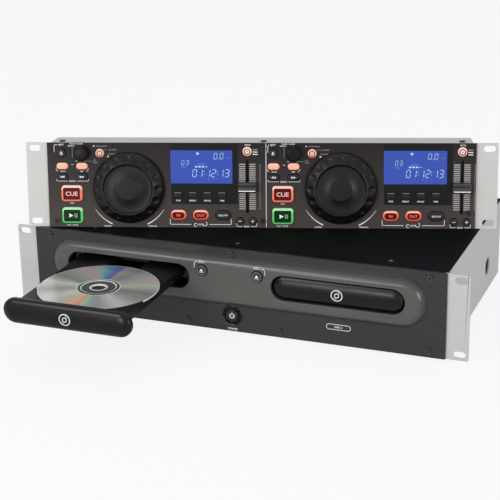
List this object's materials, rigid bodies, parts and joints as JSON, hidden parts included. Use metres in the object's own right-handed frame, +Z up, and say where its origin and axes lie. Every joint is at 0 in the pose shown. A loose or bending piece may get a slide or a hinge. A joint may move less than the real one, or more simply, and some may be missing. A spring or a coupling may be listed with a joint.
{
  "type": "twin disc player",
  "caption": "Rack-width drive unit with disc trays, one open with a disc, and a separate control unit with jog wheels, displays and keys leaning on its cover.",
  "frame": {"origin": "centre of the drive unit's rack slots, on the back face of its ears", "axes": "+X to the right seen from the front, +Y to the rear, +Z up"},
  "size_m": [0.4826, 0.3925, 0.179],
  "materials": {
    "zinc_pan": "zinc-plated folded sheet",
    "side_bracket": "light grey satin paint",
    "cover_black": "black fine-textured paint",
    "fascia": "charcoal moulding, satin",
    "rubber": "matt black rubber",
    "screw": "black oxide",
    "loader_plastic": "black moulding",
    "circuit_board": "green solder resist",
    "transformer": "varnished laminations",
    "socket_plastic": "black moulding",
    "control_panel": "black satin panel",
    "control_case": "warm grey paint",
    "control_ears": "light grey satin paint",
    "display": "blue backlit glass",
    "switch_bodies": "black moulding",
    "disc": "mirror-coated polycarbonate",
    "round_button": "black moulding",
    "tray": "black moulding",
    "tray_door": "black satin moulding",
    "gear_plastic": "white nylon",
    "turntable": "black moulding with a rubber ring",
    "pickup": "black moulding with a glass lens",
    "jog_wheel": "black moulding, satin",
    "knob": "black moulding",
    "fader_cap": "black moulding with a white line",
    "lit_key": "lit translucent ring",
    "skip_key": "peach translucent rubber",
    "cue_key": "lit red key",
    "play_key": "lit green key",
    "loop_key": "lit red key",
    "black_key": "black rubber key"
  },
  "bodies": {
    "drive_unit": {"base_pan": "zinc_pan", "side_bracket_left": "side_bracket", "side_bracket_right": "side_bracket", "top_cover": "cover_black", "drive_fascia": "fascia", "rubber_feet": "rubber", "drive_screws": "screw", "loader_frames": "loader_plastic", "main_board": "circuit_board", "power_transformer": "transformer", "rear_sockets": "socket_plastic"},
    "tray_left": {"tray_left": "tray", "tray_door_left": "tray_door"},
    "spindle_left": {"spindle_left": "turntable"},
    "pickup_left": {"pickup_left": "pickup"},
    "loading_gear_left": {"loading_gear_left": "gear_plastic"},
    "open_button_left": {"open_button_left": "round_button"},
    "tray_right": {"tray_right": "tray", "tray_door_right": "tray_door"},
    "spindle_right": {"spindle_right": "turntable"},
    "pickup_right": {"pickup_right": "pickup"},
    "loading_gear_right": {"loading_gear_right": "gear_plastic"},
    "open_button_right": {"open_button_right": "round_button"},
    "power_button": {"power_button": "round_button"},
    "compact_disc": {"compact_disc": "disc"},
    "control_unit": {"control_panel": "control_panel", "control_case": "control_case", "control_ears": "control_ears", "control_board": "circuit_board", "displays": "display", "panel_controls": "switch_bodies", "control_screws": "screw"},
    "jog_wheel_left": {"jog_wheel_left": "jog_wheel"},
    "track_knob_left": {"track_knob_left": "knob"},
    "pitch_fader_left": {"pitch_fader_left": "fader_cap"},
    "eject_button_left": {"eject_button_left": "round_button"},
    "mode_button_left": {"mode_button_left": "lit_key"},
    "pitch_button_left": {"pitch_button_left": "lit_key"},
    "track_keys_left": {"track_keys_left": "skip_key"},
    "cue_button_left": {"cue_button_left": "cue_key"},
    "play_button_left": {"play_button_left": "play_key"},
    "loop_in_button_left": {"loop_in_button_left": "loop_key"},
    "loop_out_button_left": {"loop_out_button_left": "loop_key"},
    "reloop_button_left": {"reloop_button_left": "black_key"},
    "mode_keys_left": {"mode_keys_left": "black_key"},
    "bend_keys_left": {"bend_keys_left": "black_key"},
    "jog_wheel_right": {"jog_wheel_right": "jog_wheel"},
    "track_knob_right": {"track_knob_right": "knob"},
    "pitch_fader_right": {"pitch_fader_right": "fader_cap"},
    "eject_button_right": {"eject_button_right": "round_button"},
    "mode_button_right": {"mode_button_right": "lit_key"},
    "pitch_button_right": {"pitch_button_right": "lit_key"},
    "track_keys_right": {"track_keys_right": "skip_key"},
    "cue_button_right": {"cue_button_right": "cue_key"},
    "play_button_right": {"play_button_right": "play_key"},
    "loop_in_button_right": {"loop_in_button_right": "loop_key"},
    "loop_out_button_right": {"loop_out_button_right": "loop_key"},
    "reloop_button_right": {"reloop_button_right": "black_key"},
    "mode_keys_right": {"mode_keys_right": "black_key"},
    "bend_keys_right": {"bend_keys_right": "black_key"}
  },
  "joints": [
    {"name": "tray_left_slide", "type": "slide", "parent": "drive_unit", "child": "tray_left", "axis": [0, -1, 0], "range_m": [-0.1385, 0]},
    {"name": "loading_gear_left_turn", "type": "hinge", "parent": "drive_unit", "child": "loading_gear_left", "pos_m": [-0.15275, 0.016, 0.0105], "axis": [0, 0, 1], "range_deg": [0, 793.57]},
    {"name": "spindle_left_turn", "type": "hinge", "parent": "drive_unit", "child": "spindle_left", "pos_m": [-0.11175, 0.0625, 0.01], "axis": [0, 0, 1], "continuous": true},
    {"name": "pickup_left_slide", "type": "slide", "parent": "drive_unit", "child": "pickup_left", "axis": [0, 1, 0], "range_m": [0, 0.035]},
    {"name": "tray_right_slide", "type": "slide", "parent": "drive_unit", "child": "tray_right", "axis": [0, -1, 0], "range_m": [0, 0.1385]},
    {"name": "loading_gear_right_turn", "type": "hinge", "parent": "drive_unit", "child": "loading_gear_right", "pos_m": [0.07075, 0.016, 0.0105], "axis": [0, 0, 1], "range_deg": [-793.57, 0]},
    {"name": "spindle_right_turn", "type": "hinge", "parent": "drive_unit", "child": "spindle_right", "pos_m": [0.11175, 0.0625, 0.01], "axis": [0, 0, 1], "continuous": true},
    {"name": "pickup_right_slide", "type": "slide", "parent": "drive_unit", "child": "pickup_right", "axis": [0, 1, 0], "range_m": [0, 0.035]},
    {"name": "open_button_left_press", "type": "slide", "parent": "drive_unit", "child": "open_button_left", "axis": [0, 1, 0], "range_m": [0, 0.0006], "stiffness_N_per_m": 800, "springref_m": -0.001},
    {"name": "open_button_right_press", "type": "slide", "parent": "drive_unit", "child": "open_button_right", "axis": [0, 1, 0], "range_m": [0, 0.0006], "stiffness_N_per_m": 800, "springref_m": -0.001},
    {"name": "power_button_press", "type": "slide", "parent": "drive_unit", "child": "power_button", "axis": [0, 1, 0], "range_m": [0, 0.0006], "stiffness_N_per_m": 800, "springref_m": -0.001},
    {"name": "compact_disc_lift", "type": "slide", "parent": "tray_left", "child": "compact_disc", "axis": [0, 0, 1], "range_m": [0, 0.06]},
    {"name": "control_unit_lift", "type": "slide", "parent": "drive_unit", "child": "control_unit", "axis": [0, 0, 1], "range_m": [0, 0.15]},
    {"name": "jog_wheel_left_turn", "type": "hinge", "parent": "control_unit", "child": "jog_wheel_left", "pos_m": [-0.12525, 0.02951, 0.08594], "axis": [0.2897, -0.9475, 0.1352], "continuous": true},
    {"name": "track_knob_left_turn", "type": "hinge", "parent": "control_unit", "child": "track_knob_left", "pos_m": [-0.17275, 0.02002, 0.12121], "axis": [0.2897, -0.9475, 0.1352], "continuous": true},
    {"name": "pitch_fader_left_slide", "type": "slide", "parent": "control_unit", "child": "pitch_fader_left", "axis": [-0.0395, 0.1293, 0.9908], "range_m": [-0.023, 0.023]},
    {"name": "eject_button_left_press", "type": "slide", "parent": "control_unit", "child": "eject_button_left", "axis": [-0.2897, 0.9475, -0.1352], "range_m": [0, 0.0006], "stiffness_N_per_m": 800, "springref_m": -0.001},
    {"name": "mode_button_left_press", "type": "slide", "parent": "control_unit", "child": "mode_button_left", "axis": [-0.2897, 0.9475, -0.1352], "range_m": [0, 0.0006], "stiffness_N_per_m": 800, "springref_m": -0.001},
    {"name": "pitch_button_left_press", "type": "slide", "parent": "control_unit", "child": "pitch_button_left", "axis": [-0.2897, 0.9475, -0.1352], "range_m": [0, 0.0006], "stiffness_N_per_m": 800, "springref_m": -0.001},
    {"name": "track_keys_left_press", "type": "slide", "parent": "control_unit", "child": "track_keys_left", "axis": [-0.2897, 0.9475, -0.1352], "range_m": [0, 0.0006], "stiffness_N_per_m": 800, "springref_m": -0.001},
    {"name": "cue_button_left_press", "type": "slide", "parent": "control_unit", "child": "cue_button_left", "axis": [-0.2897, 0.9475, -0.1352], "range_m": [0, 0.0006], "stiffness_N_per_m": 800, "springref_m": -0.001},
    {"name": "play_button_left_press", "type": "slide", "parent": "control_unit", "child": "play_button_left", "axis": [-0.2897, 0.9475, -0.1352], "range_m": [0, 0.0006], "stiffness_N_per_m": 800, "springref_m": -0.001},
    {"name": "loop_in_button_left_press", "type": "slide", "parent": "control_unit", "child": "loop_in_button_left", "axis": [-0.2897, 0.9475, -0.1352], "range_m": [0, 0.0006], "stiffness_N_per_m": 800, "springref_m": -0.001},
    {"name": "loop_out_button_left_press", "type": "slide", "parent": "control_unit", "child": "loop_out_button_left", "axis": [-0.2897, 0.9475, -0.1352], "range_m": [0, 0.0006], "stiffness_N_per_m": 800, "springref_m": -0.001},
    {"name": "reloop_button_left_press", "type": "slide", "parent": "control_unit", "child": "reloop_button_left", "axis": [-0.2897, 0.9475, -0.1352], "range_m": [0, 0.0006], "stiffness_N_per_m": 800, "springref_m": -0.001},
    {"name": "mode_keys_left_press", "type": "slide", "parent": "control_unit", "child": "mode_keys_left", "axis": [-0.2897, 0.9475, -0.1352], "range_m": [0, 0.0006], "stiffness_N_per_m": 800, "springref_m": -0.001},
    {"name": "bend_keys_left_press", "type": "slide", "parent": "control_unit", "child": "bend_keys_left", "axis": [-0.2897, 0.9475, -0.1352], "range_m": [0, 0.0006], "stiffness_N_per_m": 800, "springref_m": -0.001},
    {"name": "jog_wheel_right_turn", "type": "hinge", "parent": "control_unit", "child": "jog_wheel_right", "pos_m": [0.08323, 0.09325, 0.08594], "axis": [0.2897, -0.9475, 0.1352], "continuous": true},
    {"name": "track_knob_right_turn", "type": "hinge", "parent": "control_unit", "child": "track_knob_right", "pos_m": [0.03573, 0.08376, 0.12121], "axis": [0.2897, -0.9475, 0.1352], "continuous": true},
    {"name": "pitch_fader_right_slide", "type": "slide", "parent": "control_unit", "child": "pitch_fader_right", "axis": [-0.0395, 0.1293, 0.9908], "range_m": [-0.023, 0.023]},
    {"name": "eject_button_right_press", "type": "slide", "parent": "control_unit", "child": "eject_button_right", "axis": [-0.2897, 0.9475, -0.1352], "range_m": [0, 0.0006], "stiffness_N_per_m": 800, "springref_m": -0.001},
    {"name": "mode_button_right_press", "type": "slide", "parent": "control_unit", "child": "mode_button_right", "axis": [-0.2897, 0.9475, -0.1352], "range_m": [0, 0.0006], "stiffness_N_per_m": 800, "springref_m": -0.001},
    {"name": "pitch_button_right_press", "type": "slide", "parent": "control_unit", "child": "pitch_button_right", "axis": [-0.2897, 0.9475, -0.1352], "range_m": [0, 0.0006], "stiffness_N_per_m": 800, "springref_m": -0.001},
    {"name": "track_keys_right_press", "type": "slide", "parent": "control_unit", "child": "track_keys_right", "axis": [-0.2897, 0.9475, -0.1352], "range_m": [0, 0.0006], "stiffness_N_per_m": 800, "springref_m": -0.001},
    {"name": "cue_button_right_press", "type": "slide", "parent": "control_unit", "child": "cue_button_right", "axis": [-0.2897, 0.9475, -0.1352], "range_m": [0, 0.0006], "stiffness_N_per_m": 800, "springref_m": -0.001},
    {"name": "play_button_right_press", "type": "slide", "parent": "control_unit", "child": "play_button_right", "axis": [-0.2897, 0.9475, -0.1352], "range_m": [0, 0.0006], "stiffness_N_per_m": 800, "springref_m": -0.001},
    {"name": "loop_in_button_right_press", "type": "slide", "parent": "control_unit", "child": "loop_in_button_right", "axis": [-0.2897, 0.9475, -0.1352], "range_m": [0, 0.0006], "stiffness_N_per_m": 800, "springref_m": -0.001},
    {"name": "loop_out_button_right_press", "type": "slide", "parent": "control_unit", "child": "loop_out_button_right", "axis": [-0.2897, 0.9475, -0.1352], "range_m": [0, 0.0006], "stiffness_N_per_m": 800, "springref_m": -0.001},
    {"name": "reloop_button_right_press", "type": "slide", "parent": "control_unit", "child": "reloop_button_right", "axis": [-0.2897, 0.9475, -0.1352], "range_m": [0, 0.0006], "stiffness_N_per_m": 800, "springref_m": -0.001},
    {"name": "mode_keys_right_press", "type": "slide", "parent": "control_unit", "child": "mode_keys_right", "axis": [-0.2897, 0.9475, -0.1352], "range_m": [0, 0.0006], "stiffness_N_per_m": 800, "springref_m": -0.001},
    {"name": "bend_keys_right_press", "type": "slide", "parent": "control_unit", "child": "bend_keys_right", "axis": [-0.2897, 0.9475, -0.1352], "range_m": [0, 0.0006], "stiffness_N_per_m": 800, "springref_m": -0.001}
  ],
  "couplings": [
    {"joint": "loading_gear_left_turn", "follows": "tray_left_slide", "rad_per_m": -100},
    {"joint": "loading_gear_right_turn", "follows": "tray_right_slide", "rad_per_m": -100}
  ]
}
